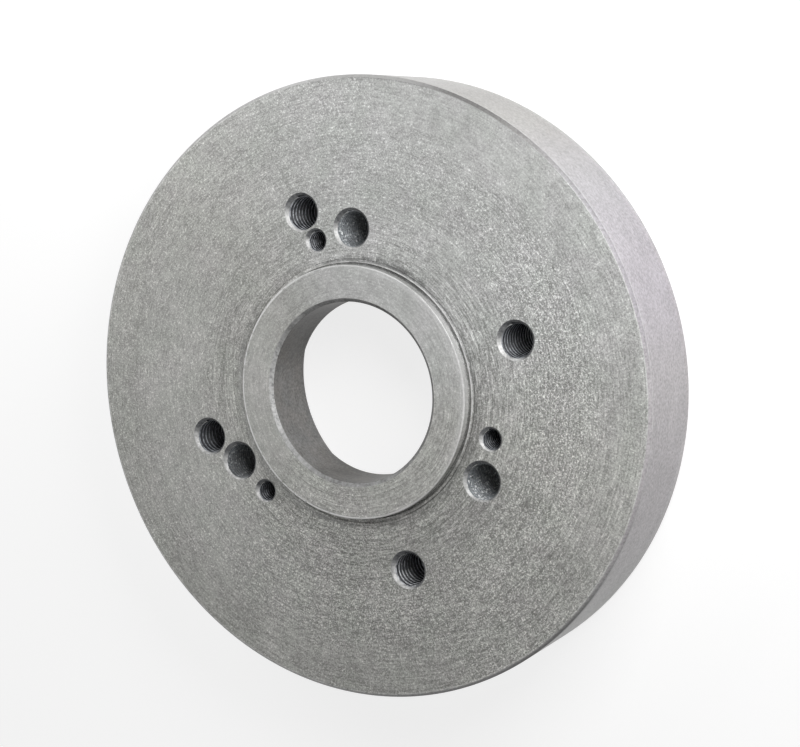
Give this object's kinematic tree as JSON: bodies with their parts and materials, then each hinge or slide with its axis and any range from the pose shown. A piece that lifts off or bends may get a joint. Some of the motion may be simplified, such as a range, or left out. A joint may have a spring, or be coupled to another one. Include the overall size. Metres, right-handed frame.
{
  "type": "chuck backplate",
  "caption": "Round cast iron adapter plate that carries a lathe chuck on a short taper camlock spindle nose.",
  "frame": {"origin": "centre of the back face, on the spindle axis", "axes": "+Z along the spindle axis towards the chuck, +Y through the centre of one camlock stud hole"},
  "size_m": [0.1596, 0.1596, 0.0298],
  "materials": {
    "iron": "turned bare iron, fine speckled grain with faint circular tool marks"
  },
  "bodies": {
    "root": {"backplate": "iron"}
  },
  "joints": []
}
